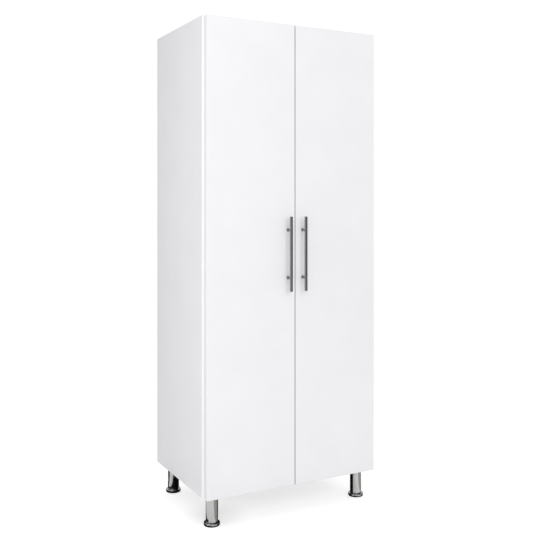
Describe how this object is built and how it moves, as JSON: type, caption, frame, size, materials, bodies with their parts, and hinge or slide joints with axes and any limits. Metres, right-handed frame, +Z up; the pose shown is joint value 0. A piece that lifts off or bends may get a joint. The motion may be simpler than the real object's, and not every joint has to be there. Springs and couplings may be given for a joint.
{
  "type": "cupboard",
  "caption": "Tall white cupboard with slab doors on concealed hinges, bar handles, inner shelves and round metal legs with levelling feet.",
  "frame": {"origin": "middle of the whole object's box, at the floor that the feet stand on", "axes": "+Z up; the doors face -Y; +X to the right for someone facing the doors"},
  "size_m": [0.8, 0.555, 1.98],
  "materials": {
    "carcase_board": "white melamine, satin",
    "shelf_board": "white melamine, satin",
    "back_panel_board": "thin white lacquered board",
    "door_board": "smooth satin white",
    "handle_nickel": "brushed nickel",
    "hinge_nickel": "nickel plate",
    "hinge_link_steel": "zinc-plated steel",
    "shelf_pin_nickel": "nickel plate",
    "leg_chrome": "satin chrome",
    "foot_chrome": "polished chrome"
  },
  "bodies": {
    "root": {"left_side_panel": "carcase_board", "right_side_panel": "carcase_board", "top_panel": "carcase_board", "bottom_panel": "carcase_board", "upper_back_rail": "carcase_board", "lower_back_rail": "carcase_board", "fixed_shelf": "shelf_board", "lower_shelf": "shelf_board", "upper_shelf": "shelf_board", "back_panel": "back_panel_board", "lower_shelf_front_left_pin": "shelf_pin_nickel", "lower_shelf_front_right_pin": "shelf_pin_nickel", "lower_shelf_back_left_pin": "shelf_pin_nickel", "lower_shelf_back_right_pin": "shelf_pin_nickel", "upper_shelf_front_left_pin": "shelf_pin_nickel", "upper_shelf_front_right_pin": "shelf_pin_nickel", "upper_shelf_back_left_pin": "shelf_pin_nickel", "upper_shelf_back_right_pin": "shelf_pin_nickel", "left_lower_hinge_arm": "hinge_nickel", "left_middle_hinge_arm": "hinge_nickel", "left_upper_hinge_arm": "hinge_nickel", "right_lower_hinge_arm": "hinge_nickel", "right_middle_hinge_arm": "hinge_nickel", "right_upper_hinge_arm": "hinge_nickel", "front_left_leg": "leg_chrome", "front_right_leg": "leg_chrome", "back_left_leg": "leg_chrome", "back_right_leg": "leg_chrome"},
    "left_outer_links": {"left_lower_hinge_outer_link": "hinge_link_steel", "left_middle_hinge_outer_link": "hinge_link_steel", "left_upper_hinge_outer_link": "hinge_link_steel"},
    "left_inner_links": {"left_lower_hinge_inner_link": "hinge_link_steel", "left_middle_hinge_inner_link": "hinge_link_steel", "left_upper_hinge_inner_link": "hinge_link_steel"},
    "left_door_leaf": {"left_door": "door_board", "left_lower_hinge_cup": "hinge_nickel", "left_middle_hinge_cup": "hinge_nickel", "left_upper_hinge_cup": "hinge_nickel", "left_handle_bar": "handle_nickel", "left_handle_lower_post": "handle_nickel", "left_handle_upper_post": "handle_nickel"},
    "right_outer_links": {"right_lower_hinge_outer_link": "hinge_link_steel", "right_middle_hinge_outer_link": "hinge_link_steel", "right_upper_hinge_outer_link": "hinge_link_steel"},
    "right_inner_links": {"right_lower_hinge_inner_link": "hinge_link_steel", "right_middle_hinge_inner_link": "hinge_link_steel", "right_upper_hinge_inner_link": "hinge_link_steel"},
    "right_door_leaf": {"right_door": "door_board", "right_lower_hinge_cup": "hinge_nickel", "right_middle_hinge_cup": "hinge_nickel", "right_upper_hinge_cup": "hinge_nickel", "right_handle_bar": "handle_nickel", "right_handle_lower_post": "handle_nickel", "right_handle_upper_post": "handle_nickel"},
    "front_left_levelling_foot": {"front_left_foot": "foot_chrome"},
    "front_right_levelling_foot": {"front_right_foot": "foot_chrome"},
    "back_left_levelling_foot": {"back_left_foot": "foot_chrome"},
    "back_right_levelling_foot": {"back_right_foot": "foot_chrome"}
  },
  "joints": [
    {"name": "left_outer_link_pivot", "type": "hinge", "parent": "root", "child": "left_outer_links", "pos_m": [-0.3545, -0.2162, 1.05], "axis": [0, 0, -1], "range_deg": [-27.5, 0]},
    {"name": "left_door_pivot", "type": "hinge", "parent": "left_outer_links", "child": "left_door_leaf", "pos_m": [-0.3766, -0.2273, 1.05], "axis": [0, 0, -1], "range_deg": [0, 122]},
    {"name": "left_inner_link_pivot", "type": "hinge", "parent": "root", "child": "left_inner_links", "pos_m": [-0.3586, -0.2332, 1.05], "axis": [0, 0, -1], "range_deg": [-34.2, 0]},
    {"name": "right_outer_link_pivot", "type": "hinge", "parent": "root", "child": "right_outer_links", "pos_m": [0.3545, -0.2162, 1.05], "axis": [0, 0, 1], "range_deg": [-27.5, 0]},
    {"name": "right_door_pivot", "type": "hinge", "parent": "right_outer_links", "child": "right_door_leaf", "pos_m": [0.3766, -0.2273, 1.05], "axis": [0, 0, 1], "range_deg": [0, 122]},
    {"name": "right_inner_link_pivot", "type": "hinge", "parent": "root", "child": "right_inner_links", "pos_m": [0.3586, -0.2332, 1.05], "axis": [0, 0, 1], "range_deg": [-34.2, 0]},
    {"name": "front_left_foot_levelling", "type": "slide", "parent": "root", "child": "front_left_levelling_foot", "axis": [0, 0, -1], "range_m": [0, 0.015]},
    {"name": "front_right_foot_levelling", "type": "slide", "parent": "root", "child": "front_right_levelling_foot", "axis": [0, 0, -1], "range_m": [0, 0.015]},
    {"name": "back_left_foot_levelling", "type": "slide", "parent": "root", "child": "back_left_levelling_foot", "axis": [0, 0, -1], "range_m": [0, 0.015]},
    {"name": "back_right_foot_levelling", "type": "slide", "parent": "root", "child": "back_right_levelling_foot", "axis": [0, 0, -1], "range_m": [0, 0.015]}
  ],
  "couplings": [
    {"joint": "left_outer_link_pivot", "follows": "left_door_pivot", "ratio": -0.22179},
    {"joint": "left_inner_link_pivot", "follows": "left_door_pivot", "ratio": -0.27549},
    {"joint": "right_outer_link_pivot", "follows": "right_door_pivot", "ratio": -0.22179},
    {"joint": "right_inner_link_pivot", "follows": "right_door_pivot", "ratio": -0.27549}
  ]
}
